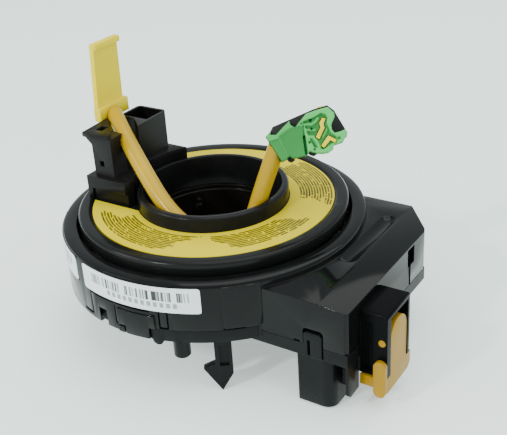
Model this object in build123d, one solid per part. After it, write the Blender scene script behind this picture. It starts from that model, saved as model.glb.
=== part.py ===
from build123d import *
import math
import os

# Steering clock spring, millimetres. The origin is on the rotor axis, level with the seat ring's face under
# the round housing. +Z points up to the steering wheel, +X from the axis to the side box.

# ---- driving dimensions: round housing and its rotor ----
drum_radius = 51.1          # outside of the round housing
drum_top = 25.1             # top of the housing's ring above the seat
case_wall = 1.8             # moulded wall of the upper case
top_round = 1.5             # rounding of the housing's top edge
top_ring_width = 4.8        # flat ring from the housing's edge in to the rotor
chamber_wall = 1.1
floor_bottom = 3.0          # underside of the lower cover
floor_thickness = 2.0
fit_gap = 0.2               # between parts that are assembled together
axial_gap = 0.3             # between turning and fixed faces
rim_gap = 1.1               # radial, rotor disc inside the housing's top ring
rim_height = 0.5            # rim band above the label's seat
rim_skirt = 5.0             # depth of the rim's skirt
rim_wall = 1.6
rim_band = 4.7              # rim band outside the ring label
rotor_plane = 28.5          # top of the ring label
disc_thickness = 2.2
label_thickness = 0.2
paper_thickness = 0.15      # labels on the housing's wall
barcode_azimuths = (-109, -60.5)
side_label_azimuths = (-152, -114)
collar_radius = 25.4        # outside of the collar round the hub
collar_bore = 23.2
collar_height = 5.0         # collar above the ring label
hub_split = 22.3            # joint face between the rotor disc and the hub sleeve
sleeve_bore = 22.35
sleeve_lip_bore = 22.8
sleeve_lip = 1.7
neck_bore = 16.5            # free bore for the steering shaft
neck_wall = 2.5
neck_bottom = -4.0
cancel_tab = 4.0            # height of the two tabs below the neck
hub_floor_bottom = 8.5
hub_floor_thickness = 2.0
bearing_clearance = 0.05    # radial, neck in the lower cover's boss
boss_wall = 2.4

# ---- joint between upper case and lower cover, and what shows of it on the front ----
upstand_top = 12.5          # ring of the lower cover inside the case's wall
rim_inset = 0.15            # lower cover's front rim behind the case's wall
front_rim_top = 9.3
front_rim_start = -79.5     # azimuths
front_rim_end = -42.0
panel_lift = 0.6            # raised panels on the wall
left_panel = (-92.0, -77.2, 5.4, 13.6)    # first and last azimuth, low and high
front_panel = (-53.4, -40.6, 10.0, 24.0)
snap_azimuths = (-99.9, -150, 160, 110, 75)
snap_window = 3.6
snap_window_top = 10.6
seam_width = 0.5
seam_depth = 0.7
tab_seam = (-6.0, 6.8, 14.7)              # azimuth from the snap's, low and high
tab_foot = (-9.0, 5.0, 6.4, 7.2)          # azimuth from the snap's, width, low and high
bracket_side = (-93.3, 8.0, 14.2)         # azimuth, low and high
bracket_foot = (-91.2, 4.2, 7.4, 8.1)     # azimuth, width, low and high
bracket_end = (-89.1, 0.6, 4.2, 8.1)
bracket_depth = 1.3
spring_tab = (-75.5, -72.5, 15.4)         # azimuths of its two slots and their top
spring_tab_gap = 0.7
catch_azimuth = -76.9
catch_hole = (-77.6, 1.6, 6.6, 8.8)       # azimuth, width, low and high
catch_radius = 1.7
label_step = (-106, -79, 14.6, 15.2)      # first and last azimuth, low and high
front_slot = (-50.0, 6.6)                 # azimuth and width
tongue = (52.8, 58.7, 11.4)               # snap tongue on the box's front: left, right and top
notch = (52.6, 59.3, 12.9)                # notch of the case round it
tongue_slot = (54.0, 54.9, 3.4, 8.8)      # left, right, low and high
tongue_depth = 1.6
joint_mark = (49.6, 51.6)
side_window = (8.0, 13.0, 14.3, 20.4)     # snap window on the long face: first and last y, low and high
side_seam = (9.2, 10.4)

# ---- side box ----
box_front = -33.5
box_back = 34.0
box_end = 67.0
box_top = 22.1
box_slope_start = 58.0      # the top falls towards the long face from here
box_slope = 0.122           # fall for each millimetre
box_split = 7.4             # joint line between upper case and lower cover on the box
back_cut_x = 57.0           # corner cut at the back
back_cut_y = 22.0
trough_x = 54.0             # round-ended trough along the box's top
trough_front = -9.0
trough_back = 24.5
trough_width = 5.4
trough_depth = 1.2

# ---- connector leg under the front corner ----
leg_left = 50.2
leg_right = 62.2
leg_back = -20.5
leg_bottom = -13.7
leg_wall = 1.5
leg_corner = 3.6            # large rounding of the front right edge
leg_edge = 0.8
insert_thickness = 2.0      # terminal plate inside the leg
leg_pin = 3.6
guard_thickness = 0.9
guard_bottom = -8.6
guard_corner = 1.4
guard_front = -33.0
guard_back = -26.2

# ---- snaps and feet of the lower cover ----
clip_azimuths = (-55, 125, 190)
clip_inset = 4.6            # inner face of the clips in from the housing's outside
clip_thickness = 2.4
clip_tip = -14.4
peg_azimuth = -69.4
peg_diameter = 5.2
peg_bottom = -1.2

# ---- side connector ----
plug_front = -26.2
plug_back = -10.8
plug_depth = 9.0
plug_top = 19.1
plug_bottom = -2.5
mouth_front = -23.8
mouth_back = -12.0
mouth_floor = 2.0           # wall left behind the mouth
mouth_roof = 2.0
lock_thickness = 2.0
lock_bottom = -8.4
lock_top = 14.4
lock_gap = 0.25
lock_finger = 3.8
lock_finger_top = 3.9
lock_tray_bottom = -6.2
pin_size = 0.64

# ---- connector tower on the rotor ----
tower_top = 50.5
base_top = 37.0
base_left = -38.2
base_right = -21.8
base_front = -19.2
base_back = 15.0
base_lip = 4.3              # height of the base's overhanging top
base_recess = 0.7
socket_wall = 1.0
socket_depth = 11.0
socket_pin = 4.6            # free length of a tower terminal
left_block = (-36.3, -28.0, -16.5, -9.8)
right_socket = (-40.0, -27.5, 2.6, 13.8)
hood_thickness = 1.4
hood_left = -39.8
hood_slot = (-36.2, -33.4, -14.0, -10.4)

# ---- leads, flag and squib plug ----
sleeve_diameter = 5.6
sleeve_clearance = 0.25     # round a sleeve where it passes through a moulding
holder_top = 22.4
holder_step = 14.8          # lower stretch of the holder, where the second lead comes out
lead_overrun = 4.0          # stretch of sleeve cut off square to the face it meets
flag_back = -43.0
flag_thickness = 1.8
flag_top = 77.6
flag_top_edges = (-4.1, 7.7)
flag_foot_edges = (-6.2, 7.0)
flag_lip = 0.9
flag_lip_height = 1.9
bar_front = -40.1
bar_bottom = 50.9
bar_top = 55.6
bar_extra = 1.4
squib_cover_depth = 3.0
squib_shell_depth = 5.6
squib_lock_depth = 0.5      # yellow lock below the green face
sleeve_socket = 6.0         # length of the second lead's seat in the shell

# ---- ribbon ----
ribbon_width = 14.0
ribbon_thickness = 0.4
ribbon_half_turns = 3       # odd, so that the ribbon ends on the side box's side
ribbon_lift = 0.3           # above the slip sheet
inner_holder_depth = 2.4
outer_holder_depth = 4.8
holder_width = 8.0
slip_thickness = 0.3

# Sizes that follow from the ones above.
floor_top = floor_bottom + floor_thickness
skirt_bottom = floor_top + fit_gap
case_inner = drum_radius - case_wall
chamber_radius = drum_radius - top_ring_width
chamber_outside = chamber_radius + chamber_wall
rim_radius = chamber_radius - rim_gap
label_radius = rim_radius - rim_band
seat_plane = rotor_plane - label_thickness
rim_top = rotor_plane + rim_height
neck_radius = neck_bore + neck_wall
hub_floor_top = hub_floor_bottom + hub_floor_thickness
hub_radius = collar_radius - fit_gap
clip_radius = drum_radius - clip_inset
peg_place = drum_radius - peg_diameter / 2
plug_x0 = box_end
plug_x1 = box_end + plug_depth
ribbon_low = floor_top + slip_thickness + ribbon_lift
ribbon_start = hub_radius + inner_holder_depth + 1.0
outer_holder_radius = chamber_radius - 0.5 - outer_holder_depth
ribbon_end = outer_holder_radius - ribbon_thickness - fit_gap
label_low = drum_top - 9.6
label_high = drum_top - 1.1

# The leads' routes, from the holder in the hub to the flag's bar and to the squib plug.
lead_a_points = [
    (10.0, -17.1, holder_top),
    (4.2, -19.4, 26.2),
    (-4.6, -19.3, 31.8),
    (-15.3, -15.0, 39.5),
    (-31.2, -6.6, 50.2),
    (bar_front, 0.4, 52.6),
]
lead_b_points = [
    (16.3, -10.6, holder_step),
    (18.6, -6.4, 24.4),
    (20.3, -0.4, 37.0),
    (23.9, 1.8, 48.0),
]
squib_centre = (34.6, 4.0, 55.6)
squib_long = (0.708, 0.650, 0.275)
squib_normal = (0.496, -0.736, 0.461)

# Outlines in the squib plug's own plane, along it and across it. The green half has a flat panel on the left,
# a wider head and a hook lobe on the right, with notches in its upper edge and between head and hook.
cover_outline = [
    (-10.2, -5.2), (-12.1, 4.0), (-9.9, 5.0), (-10.4, 4.0), (-8.9, 3.3), (-6.5, 4.5), (-3.5, 5.8),
    (-3.7, 4.3), (-2.6, 3.3), (-0.6, 4.5), (2.1, 5.9), (9.0, 5.4), (10.2, 3.1), (9.9, 1.8), (8.0, -0.2), (7.7, -1.6),
    (8.1, -2.8), (11.5, -3.0), (11.7, -4.5), (9.3, -6.5), (6.4, -6.3), (5.8, -7.4), (4.2, -7.8), (2.6, -7.5),
    (0.5, -6.5), (-1.1, -5.2), (-2.4, -6.2), (-6.7, -5.5), (-7.5, -4.4), (-8.6, -5.0),
]
shell_outline = [
    (-10.6, -4.6), (-11.4, 4.0), (-8.8, 6.2), (4.8, 6.6), (9.4, 6.2), (10.8, 3.9), (12.1, -4.0), (11.4, -5.2),
]
long_bar = [
    (6.2, 3.0), (7.1, 2.3), (5.9, 1.0), (5.8, -0.2), (3.0, -2.9), (2.2, -1.9), (4.7, 0.4), (4.8, 1.7),
]
bent_bar = [
    (5.9, -2.8), (8.0, -5.0), (7.2, -5.8), (6.0, -4.4), (3.4, -5.9), (2.8, -4.9),
]
panel_step = [
    (-10.8, 1.6), (-8.4, 1.5), (-7.6, -4.0), (-9.8, -4.2),
]


def tube(outer, inner, low, high):
    """Upright ring between two radii."""
    body = Cylinder(outer, high - low, align=(Align.CENTER, Align.CENTER, Align.MIN))
    body -= Cylinder(inner, high - low, align=(Align.CENTER, Align.CENTER, Align.MIN))
    return Pos(0, 0, low) * body


def disc(radius, low, high):
    return Pos(0, 0, low) * Cylinder(radius, high - low, align=(Align.CENTER, Align.CENTER, Align.MIN))


def block(x0, x1, y0, y1, z0, z1):
    """Box from its six limits."""
    return Pos((x0 + x1) / 2, (y0 + y1) / 2, (z0 + z1) / 2) * Box(abs(x1 - x0), abs(y1 - y0), abs(z1 - z0))


def prism(points, low, high):
    """Upright prism over a plan outline."""
    return Pos(0, 0, low) * extrude(make_face(Polyline(*points, close=True)), high - low)


def turned(points):
    """Solid of revolution about Z from a profile of (radius, height)."""
    return revolve(Plane.XZ * make_face(Polyline(*points, close=True)), Axis.Z)


def sector(azimuth, half_angle, reach, low, high):
    """Wedge about an azimuth, used to cut a ring to a stretch."""
    points = [(0, 0)]
    for step in (-1, -0.33, 0.33, 1):
        angle = math.radians(azimuth + step * half_angle)
        points.append((reach * math.cos(angle), reach * math.sin(angle)))
    return prism(points, low, high)


def at(azimuth):
    """Frame whose X is radial at an azimuth and whose Y runs round the drum."""
    return Rot(0, 0, azimuth)


def box_plan(inset=0.0, start=20.0):
    """Plan of the side box, drawn inwards by an inset and started inside the round housing."""
    slant = inset * math.tan(math.radians(22.5))
    return [
        (start, box_front + inset),
        (box_end - inset, box_front + inset),
        (box_end - inset, back_cut_y - slant),
        (back_cut_x - slant, box_back - inset),
        (start, box_back - inset),
    ]


def upper_case():
    drum = turned([
        (case_inner, skirt_bottom), (drum_radius, skirt_bottom), (drum_radius, drum_top - top_round),
        (drum_radius - 0.3 * top_round, drum_top - 0.3 * top_round), (drum_radius - top_round, drum_top),
        (chamber_radius, drum_top), (chamber_radius, skirt_bottom), (chamber_outside, skirt_bottom),
        (chamber_outside, drum_top - case_wall), (case_inner, drum_top - case_wall),
    ])
    for first, last, low, high in (left_panel, front_panel):
        drum += wall_piece(drum_radius + panel_lift, drum_radius - 0.5, first, last, low, high)
    drum -= wall_piece(drum_radius + 2, case_inner - 0.1, front_rim_start, front_rim_end, skirt_bottom - 1,
                       front_rim_top)
    drum -= prism(box_plan(), skirt_bottom - 1, box_split)
    case = drum + box_shell()
    # way out for the ribbon into the side box
    case -= sector(0, 14, chamber_outside + 1, floor_top, drum_top - case_wall)
    return cut_case_openings(case)


def box_shell():
    """Upper half of the side box, open below and towards the drum."""
    shell = prism(box_plan(), box_split, box_top)
    over = box_end + 1 - box_slope_start
    slope = Plane.XZ * make_face(Polyline(
        (box_slope_start, box_top), (box_slope_start + over, box_top - box_slope * over),
        (box_slope_start + over, box_top + 1), (box_slope_start, box_top + 1), close=True))
    shell -= Pos(0, 2 * box_back, 0) * extrude(slope, 4 * box_back)
    shell = chamfer(shell.edges().filter_by(Axis.Z).group_by(Axis.X)[-1], 1.0)
    inside_top = box_top - case_wall - box_slope * (box_end - box_slope_start)
    shell -= prism(box_plan(case_wall), box_split - 1, inside_top)
    shell -= disc(case_inner, box_split - 1, box_top + 1)
    return shell - trough()


def trough():
    """Round-ended trough: a lying bar with ball ends, sunk into the box's top."""
    half = trough_width / 2
    radius = (half ** 2 + trough_depth ** 2) / (2 * trough_depth)
    height = box_top - trough_depth + radius
    low, high = trough_front + half, trough_back - half
    bar = Pos(trough_x, (low + high) / 2, height) * Rot(90, 0, 0) * Cylinder(radius, high - low)
    return bar + Pos(trough_x, low, height) * Sphere(radius) + Pos(trough_x, high, height) * Sphere(radius)


def cut_case_openings(case):
    """Windows, slots and seams in the wall of the upper case."""
    depth = 2 * case_wall + 1
    for azimuth in snap_azimuths:
        case -= slot_at(azimuth, snap_window, skirt_bottom - 1, snap_window_top, depth)
        # seam and foot slot beside each snap, down the left of its tab
        turn, low, high = tab_seam
        case -= slot_at(azimuth + turn, seam_width, low, high, seam_depth)
        turn, width, low, high = tab_foot
        case -= slot_at(azimuth + turn, width, low, high, seam_depth)
    # bracket line between the tab and the raised panel
    azimuth, low, high = bracket_side
    case -= slot_at(azimuth, seam_width, low, high, seam_depth)
    case -= slot_at(*bracket_foot, bracket_depth) + slot_at(*bracket_end, bracket_depth)
    # slots either side of the spring tab on the front, and under it
    first, last, high = spring_tab
    for side in (first, last):
        case -= slot_at(side, seam_width, front_rim_top - 0.1, high, depth)
    tab_width = math.radians(last - first) * drum_radius + seam_width
    case -= slot_at((first + last) / 2, tab_width, front_rim_top - 1, front_rim_top + spring_tab_gap, depth)
    case -= slot_at(*catch_hole, seam_depth * 2)
    # step below the barcode label
    case -= wall_piece(drum_radius + 1, drum_radius - seam_depth, *label_step)
    # slot below the front panel
    case -= slot_at(*front_slot, front_rim_top - 1, front_panel[2], bracket_depth * 2)
    # notch for the snap tongue on the front face, with a rounded end
    left, right, high = notch
    cutter = block(left, right, box_front - 1, box_front + depth, box_split - 1, high)
    case -= fillet(cutter.edges().filter_by(Axis.Y).group_by(Axis.Z)[-1], 1.3)
    # mark on the joint line
    case -= block(*joint_mark, box_front - 1, box_front + seam_depth, box_split - 0.1, box_split + 0.6)
    # snap window on the long face
    first, last, low, high = side_window
    case -= block(box_end - depth, box_end + 1, first, last, low, high)
    case -= block(box_end - depth, box_end + 1, *side_seam, box_split - 1, low + 0.1)
    return case


def wall_piece(outer, inner, first, last, low, high):
    """Stretch of an upright ring between two azimuths."""
    cut = sector((first + last) / 2, (last - first) / 2, 2 * outer, low - 1, high + 1)
    return tube(outer, inner, low, high) & cut


def slot_at(azimuth, width, low, high, depth):
    """Cutter for the drum's wall, from outside in by a depth."""
    return at(azimuth) * block(drum_radius - depth, drum_radius + 2, -width / 2, width / 2, low, high)


def lower_cover():
    boss_bore = neck_radius + bearing_clearance
    boss_outside = boss_bore + boss_wall
    upstand_outside = case_inner - fit_gap
    upstand_inside = chamber_outside + fit_gap
    body = turned([
        (boss_bore, 0.0), (boss_outside, 0.0), (boss_outside, floor_bottom),
        (upstand_outside - floor_thickness, floor_bottom), (upstand_outside, floor_top),
        (upstand_outside, upstand_top), (upstand_inside, upstand_top), (upstand_inside, floor_top),
        (boss_outside, floor_top), (boss_outside, hub_floor_bottom - axial_gap),
        (boss_bore, hub_floor_bottom - axial_gap),
    ])
    # the ring stops where the side box begins
    body -= sector(0, 34, drum_radius + 2, floor_top, upstand_top + 1)
    rim = wall_piece(drum_radius - rim_inset, upstand_outside - 0.2, front_rim_start + 0.2, front_rim_end,
                     floor_top, front_rim_top - fit_gap)
    body += rim - prism(box_plan(-fit_gap), box_split - fit_gap, front_rim_top)
    body += box_tray(upstand_outside)
    body += snap_tongue()
    body -= leg_hollow()
    # slots of the snap tongue, running down over the joint line
    left, right, low, high = tongue_slot
    body -= block(left, right, box_front - 1, box_front + seam_depth * 2, low, high)
    body -= block(tongue[1], notch[1], box_front - 1, box_front + seam_depth * 2, low, notch[2])
    for azimuth in clip_azimuths:
        body += at(azimuth) * arrow_clip()
    body += at(peg_azimuth) * peg()
    body += at(catch_azimuth) * catch_hook()
    for azimuth in snap_azimuths:
        body += at(azimuth) * snap_wedge()
    return body


def box_tray(upstand_outside):
    """Lower half of the side box, its floor level with the drum's."""
    top = box_split - fit_gap
    tray = prism(box_plan(), floor_bottom, top)
    tray -= prism(box_plan(case_wall), floor_top, top + 1)
    tray -= disc(upstand_outside, floor_top, top + 1)
    return tray - disc(collar_radius, floor_bottom - 1, top)


def leg_block(inset, low, high):
    """Upright block over the leg's plan, drawn inwards, with its front right edge well rounded."""
    body = block(leg_left + inset, leg_right - inset, box_front + inset, leg_back - inset, low, high)
    corner = body.edges().filter_by(Axis.Z).group_by(Axis.X)[-1].sort_by(Axis.Y)[0]
    return fillet(corner, leg_corner - inset)


def leg():
    """Leg below the box, before it is hollowed."""
    body = leg_block(0.0, leg_bottom, floor_bottom)
    left = body.edges().filter_by(Axis.Z).group_by(Axis.X)[0]
    return fillet(left, leg_edge)


def leg_hollow():
    """Inside of the leg, open into the box above."""
    return leg_block(leg_wall, leg_bottom - 1, floor_top + 1)


def guard():
    """Thin wall beside the leg in line with the long face, and the web behind it."""
    x0 = box_end - guard_thickness
    plate = Plane.YZ * make_face(Polyline(
        (guard_front, floor_bottom), (guard_front, guard_bottom + guard_corner),
        (guard_front + guard_corner, guard_bottom), (guard_back, guard_bottom + 0.3), (guard_back, floor_bottom),
        close=True))
    solid = Pos(x0, 0, 0) * extrude(plate, guard_thickness)
    web_front = guard_back - 1.2
    return solid + block(leg_right - 0.5, box_end, web_front, guard_back, guard_bottom + 0.3, floor_bottom)


def connector_leg():
    """Hollow leg for the column harness, with its guard, under the tray of the side box."""
    return leg() + guard() - leg_hollow()


def snap_tongue():
    """Tongue that stands up from the lower cover into the notch of the case's front."""
    left, right, high = tongue
    body = block(left, right, box_front, box_front + tongue_depth, floor_bottom + 1, high)
    return fillet(body.edges().filter_by(Axis.Y).group_by(Axis.Z)[-1], 1.0)


def arrow_clip():
    """Barbed clip hanging from the ring, drawn with X radial and Y round the drum."""
    low, high = clip_tip, floor_top - 0.2
    face = Plane.YZ * make_face(Polyline(
        (-2.4, high), (-2.4, low + 10.1), (-3.7, low + 9.6), (-6.1, low + 8.5), (-0.8, low), (2.9, low + 6.2),
        (2.9, high), close=True))
    clip = Pos(clip_radius, 0, 0) * extrude(face, clip_thickness)
    # pocket in the shaft's outer face
    return clip - block(clip_radius + clip_thickness - 1.0, clip_radius + clip_thickness + 1, -1.0, 1.9,
                        low + 9.2, floor_bottom - 0.4)


def peg():
    """Round locating peg, level with the housing's outside."""
    post = Pos(peg_place, 0, peg_bottom) * Cylinder(
        peg_diameter / 2, floor_top - peg_bottom, align=(Align.CENTER, Align.CENTER, Align.MIN))
    return chamfer(post.edges().group_by(Axis.Z)[0], 0.5)


def catch_hook():
    """Small rounded catch below the front rim."""
    depth = 2.4
    return Pos(drum_radius - rim_inset - depth, 0, floor_top) * Rot(0, 90, 0) * Cylinder(
        catch_radius, depth, align=(Align.CENTER, Align.CENTER, Align.MIN))


def snap_wedge():
    """Catch that shows in each window of the upper case."""
    face = Plane.XZ * make_face(Polyline(
        (case_inner - 1.2, 6.0), (drum_radius - 0.3, 6.6), (drum_radius - 0.3, 7.4), (case_inner - 1.2, 10.6),
        close=True))
    return Pos(0, 1.5, 0) * extrude(face, 3.0)


def rotor_disc():
    skirt_low = rim_top - rim_skirt
    disc_bottom = seat_plane - disc_thickness
    collar_top = rotor_plane + collar_height
    return turned([
        (collar_bore, hub_split), (collar_radius, hub_split), (collar_radius, disc_bottom),
        (rim_radius - rim_wall, disc_bottom), (rim_radius - rim_wall, skirt_low), (rim_radius, skirt_low),
        (rim_radius, rim_top - 0.7), (rim_radius - 0.7, rim_top), (label_radius + 1.0, rim_top),
        (label_radius + 0.1, seat_plane), (collar_radius, seat_plane), (collar_radius, collar_top - 0.6),
        (collar_radius - 0.6, collar_top), (collar_bore, collar_top),
    ])


def hub_sleeve():
    lip_low = hub_split - sleeve_lip
    body = turned([
        (neck_bore, neck_bottom), (neck_radius, neck_bottom), (neck_radius, hub_floor_bottom),
        (hub_radius, hub_floor_bottom), (hub_radius, hub_split), (sleeve_lip_bore, hub_split),
        (sleeve_lip_bore, lip_low), (sleeve_bore, lip_low), (sleeve_bore, hub_floor_top),
        (neck_bore, hub_floor_top),
    ])
    # tabs that cancel the turn signal
    for azimuth in (60, 240):
        tab = tube(neck_radius, neck_bore + 0.6, neck_bottom - cancel_tab, neck_bottom)
        body += tab & sector(azimuth, 12, 2 * neck_radius, neck_bottom - cancel_tab - 1, neck_bottom + 1)
    knob = at(141) * Pos(sleeve_bore + 0.6, 0, 16.9) * Rot(0, -90, 0) * Cylinder(
        1.3, 2.2, align=(Align.CENTER, Align.CENTER, Align.MIN))
    return body + knob


def connector_tower():
    """Base block, hooded left block and open right socket, moulded as one."""
    outline = [
        (base_left, base_front), (base_right, base_front), (base_right + 1.4, base_front + 3.4),
        (base_right + 1.4, base_back), (base_left, base_back),
    ]
    body = prism(outline, seat_plane, base_top)
    body -= block(base_left + 2.0, base_right + 2.0, base_front - 1, base_front + base_recess, seat_plane,
                  base_top - base_lip)
    body -= disc(collar_radius + 0.7, seat_plane - 1, base_top + 1)
    body -= tube(2 * rim_radius, label_radius, seat_plane - 1, rim_top)
    body += hooded_block() + open_socket()
    return body - lead(lead_a_points, sleeve_diameter / 2 + sleeve_clearance)


def hooded_block():
    """Closed block under an overhanging hood, with one slot in the hood and a small window in front."""
    x0, x1, y0, y1 = left_block
    column = block(x0, x1, y0, y1, base_top - 1, tower_top)
    hood = prism([
        (hood_left + 0.9, y0 - 1.1), (-34.4, y0 - 1.8), (x1 - 0.2, y0 - 0.3), (x1 - 1.2, y0 + 2.1),
        (x1 - 3.2, y0 + 4.2), (-36.4, y1 + 2.8), (-37.4, y1 + 5.6), (hood_left, y1 + 6.2),
    ], tower_top, tower_top + hood_thickness)
    gusset = Pos(0, y1, 0) * extrude(Plane.XZ * make_face(Polyline(
        (x0 + 0.2, tower_top - 3.2), (x0 + 0.2, tower_top + 0.2), (hood_left + 0.2, tower_top + 0.2),
        close=True)), y1 - y0)
    column += hood + gusset
    slot_x0, slot_x1, slot_y0, slot_y1 = hood_slot
    column -= block(slot_x0, slot_x1, slot_y0, slot_y1, tower_top - 6.0, tower_top + 5)
    return column - block(x0 + 2.6, x0 + 4.4, y0 - 1, y0 + socket_wall + 1, tower_top - 10.4, tower_top - 8.4)


def open_socket():
    """Rectangular socket, open above, with a full-height gusset at its inner front corner."""
    x0, x1, y0, y1 = right_socket
    socket = block(x0, x1, y0, y1, base_top - 1, tower_top)
    socket = chamfer(socket.edges().filter_by(Axis.Z).group_by(Axis.Y)[-1], 1.2)
    socket -= block(x0 + socket_wall, x1 - socket_wall, y0 + socket_wall, y1 - socket_wall,
                    tower_top - socket_depth, tower_top + 1)
    return socket + prism([
        (x1, y0 - 5.2), (x1, y0 + 0.5), (x1 - 5.6, y0 + 0.5), (x1 - 5.6, y0 - 0.2), (x1 - 2.8, y0 - 2.5),
    ], base_top - 1, tower_top)


def pin_row(places, low, high):
    """Square terminals standing at each place."""
    return Compound(children=[
        Pos(x, y, (low + high) / 2) * Box(pin_size, pin_size, high - low) for x, y in places
    ])


def tower_pins():
    x0, x1, y0, y1 = right_socket
    low = tower_top - socket_depth
    pitch = 2.6
    places = [((x0 + x1) / 2 + column * pitch, (y0 + y1) / 2 + row * pitch)
              for column in (-1, 0, 1) for row in (-1, 0, 1)]
    return pin_row(places, low, low + socket_pin)


def ring_label():
    """C-shaped sticker, cut straight at the tower."""
    body = tube(label_radius, collar_radius + 0.3, seat_plane, rotor_plane)
    body -= block(-60, -16.6, base_front - 0.3, base_back + 3.0, seat_plane - 1, rotor_plane + 1)
    return body


def paper_label(first, last, low, high):
    """Paper label on the drum wall between two azimuths."""
    middle, half = (first + last) / 2, abs(last - first) / 2
    ring = tube(drum_radius + paper_thickness, drum_radius, low, high)
    wedge = [(0, 0)]
    steps = 8
    for step in range(steps + 1):
        angle = math.radians(middle - half + 2 * half * step / steps)
        wedge.append((80 * math.cos(angle), 80 * math.sin(angle)))
    return ring & prism(wedge, low - 1, high + 1)


def side_connector_shell():
    x0, x1 = plug_x0, plug_x1
    body = block(x0, x1, plug_front, plug_back, plug_bottom, plug_top)
    body = fillet(body.edges().group_by(Axis.Z)[-1].group_by(Axis.X)[-1]
                  + body.edges().filter_by(Axis.X).group_by(Axis.Z)[-1], 1.2)
    body -= block(x0 + mouth_floor, x1 + 1, mouth_front, mouth_back, plug_bottom + 1.6, plug_top - mouth_roof)
    body -= block(x1 - lock_thickness - 2 * lock_gap, x1 + 1, mouth_front, mouth_back, plug_bottom - 1,
                  plug_top - mouth_roof)
    # open side of the front face next to the box
    body -= block(x0 + 0.6, x0 + 4.4, plug_front - 1, plug_front + 1.2, plug_bottom + 1.2, plug_top - 3.6)
    return body


def side_connector_lock():
    """Slider: a round-headed plate in the mouth, a finger on the front side and a tray that joins them."""
    x1 = plug_x1 - lock_gap
    x0 = x1 - lock_thickness
    y0, y1 = mouth_front + lock_gap, mouth_back - lock_gap
    middle, width = (y0 + y1) / 2, y1 - y0
    low_top = plug_bottom - lock_gap
    head_centre = lock_top - width / 2
    head = Plane.YZ * (
        Pos(middle, head_centre) * Circle(width / 2)
        + Pos(middle, (head_centre + lock_bottom) / 2) * Rectangle(width, head_centre - lock_bottom)
    )
    body = Pos(x0, 0, 0) * extrude(head, lock_thickness)
    plate = block(x0, x1, plug_front - 0.8, plug_back + 1.6, lock_bottom, low_top)
    body += chamfer(plate.edges().filter_by(Axis.X).group_by(Axis.Z)[0], 1.6)
    body += block(plug_x0 + 0.7, x1 - 0.3, plug_front - 0.8, plug_front + 9.0, lock_tray_bottom, low_top)
    finger_x, finger_y = x1 - 1.5, plug_front - lock_gap
    low, high = lock_bottom - 0.2, lock_finger_top
    finger = Plane.XZ * (
        Pos(finger_x, high - lock_finger / 2) * Circle(lock_finger / 2)
        + Pos(finger_x, low + lock_finger / 2) * Circle(lock_finger / 2)
        + Pos(finger_x, (high + low) / 2) * Rectangle(lock_finger, high - low - lock_finger)
    )
    return body + Pos(0, finger_y, 0) * extrude(finger, 1.5)


def side_connector_pins():
    rows = []
    for y in (-20.6, -17.9, -15.2):
        for z in (3.0, 6.0):
            rows.append(Pos(plug_x0 + mouth_floor + 1.7, y, z) * Box(3.4, pin_size, pin_size))
    return Compound(children=rows)


def leg_insert():
    return leg_block(leg_wall + fit_gap, floor_bottom - insert_thickness, floor_bottom)


def leg_pins():
    top = floor_bottom - insert_thickness
    places = [(52.9 + 2.3 * column, y) for column in range(4) for y in (-28.4, -25.2)]
    return pin_row(places, top - leg_pin, top)


def ribbon_cable():
    """Flat cable as a spiral of half turns struck from two centres, one pitch step apart."""
    step = (ribbon_end - ribbon_start) / (ribbon_half_turns - 1)
    spiral = None
    for turn in range(ribbon_half_turns):
        radius = ribbon_start + turn * step
        side = 1 if turn % 2 == 0 else -1
        centre = 0.0 if turn % 2 == 0 else -step
        half = Circle(radius + ribbon_thickness / 2) - Circle(radius - ribbon_thickness / 2)
        half &= Pos(0, side * drum_radius, 0) * Rectangle(4 * drum_radius, 2 * drum_radius)
        half = Pos(centre, 0, 0) * half
        spiral = half if spiral is None else spiral + half
    return Pos(0, 0, ribbon_low) * extrude(spiral, ribbon_width)


def slip_sheet():
    return tube(chamber_radius - 0.5, hub_radius + 0.6, floor_top, floor_top + slip_thickness)


def ribbon_holder(radius, azimuth, depth):
    half = holder_width / 2
    return at(azimuth) * block(radius, radius + depth, -half, half, ribbon_low, ribbon_low + ribbon_width)


def lead_holder():
    """Curved block on the hub floor in two steps, one lead coming out of each."""
    outer, inner = sleeve_bore - 0.1, neck_bore + 0.3
    tall = tube(outer, inner, hub_floor_top, holder_top)
    low = tube(outer, inner, hub_floor_top, holder_step)
    tall &= sector(-60.5, 16.5, 2 * outer, hub_floor_top - 1, holder_top + 1)
    low &= sector(-35, 12, 2 * outer, hub_floor_top - 1, holder_top + 1)
    return tall + low


def lead(points, radius=sleeve_diameter / 2):
    """Sleeve: straight runs joined by arcs as large as the runs allow. Both ends run on by the overrun."""
    route = [Vector(*p) for p in points]
    radii = []
    for before, here, after in zip(route, route[1:], route[2:]):
        turn = (here - before).get_angle(after - here)
        shorter = min((here - before).length, (after - here).length)
        radii.append(0.45 * shorter / math.tan(math.radians(turn / 2)))
    route[0] -= (route[1] - route[0]).normalized() * lead_overrun
    route[-1] += (route[-1] - route[-2]).normalized() * lead_overrun
    path = FilletPolyline(*route, radius=radii)
    start = Plane(origin=route[0], z_dir=(route[1] - route[0]).normalized())
    body = sweep(start * Circle(radius), path)
    share = body.volume / (math.pi * radius ** 2 * path.length)
    print("lead radii", [round(r, 1) for r in radii], "length", round(path.length, 1),
          "volume share", round(share, 5))
    return body


def below(level):
    """Everything near the hub under a level."""
    return disc(2 * drum_radius, level - 4 * lead_overrun, level)


def lead_a_sleeve():
    body = lead(lead_a_points) - below(holder_top)
    return body - block(bar_front - 4 * lead_overrun, bar_front, -20, 20, bar_bottom - 20, bar_top + 20)


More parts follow.
